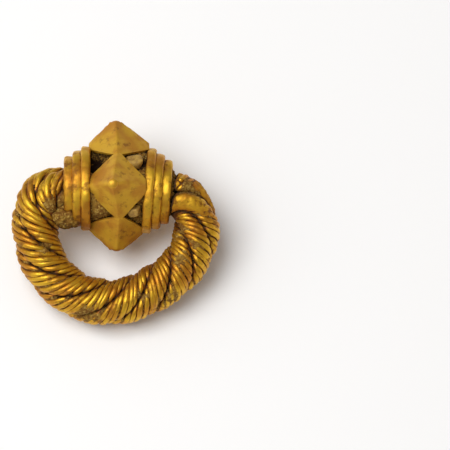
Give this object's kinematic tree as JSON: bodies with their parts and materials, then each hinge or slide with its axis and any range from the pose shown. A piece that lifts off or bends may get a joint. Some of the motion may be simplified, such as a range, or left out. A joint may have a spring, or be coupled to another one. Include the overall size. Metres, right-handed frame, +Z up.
{
  "type": "gold earring",
  "caption": "Hoop earring of thick twisted gold wire rope, closed by an openwork bead of sheet-gold pyramids with granules between stepped wire rings.",
  "frame": {"origin": "on the ground, under the middle of the earring's box as it lies on its side", "axes": "+X along the bead and across the hoop, +Z up, the bead towards +Y; the hoop's front face looks up"},
  "size_m": [0.022, 0.0206, 0.0136],
  "materials": {
    "gold": "worn, hammered high-carat gold, satin, with red-brown earth in the hollows",
    "filling": "matt, gritty, greenish-brown paste and soil",
    "pale_stone": "worn, slightly glossy, greenish-yellow chips"
  },
  "bodies": {
    "root": {"rope_strand_1": "gold", "rope_strand_2": "gold", "rope_strand_3": "gold", "rope_strand_4": "gold", "ring_left_large": "gold", "ring_left_middle": "gold", "ring_left_small": "gold", "ring_right_large": "gold", "ring_right_middle": "gold", "ring_right_small": "gold", "pyramid_front": "gold", "pyramid_outer": "gold", "pyramid_back": "gold", "pyramid_inner": "gold", "granule_front": "gold", "granule_outer": "gold", "granule_back": "gold", "granule_inner": "gold", "bead_filling": "filling", "stone_front_right": "pale_stone", "stone_back_right": "pale_stone", "stone_inner_right": "pale_stone", "stone_back_left": "pale_stone"}
  },
  "joints": []
}
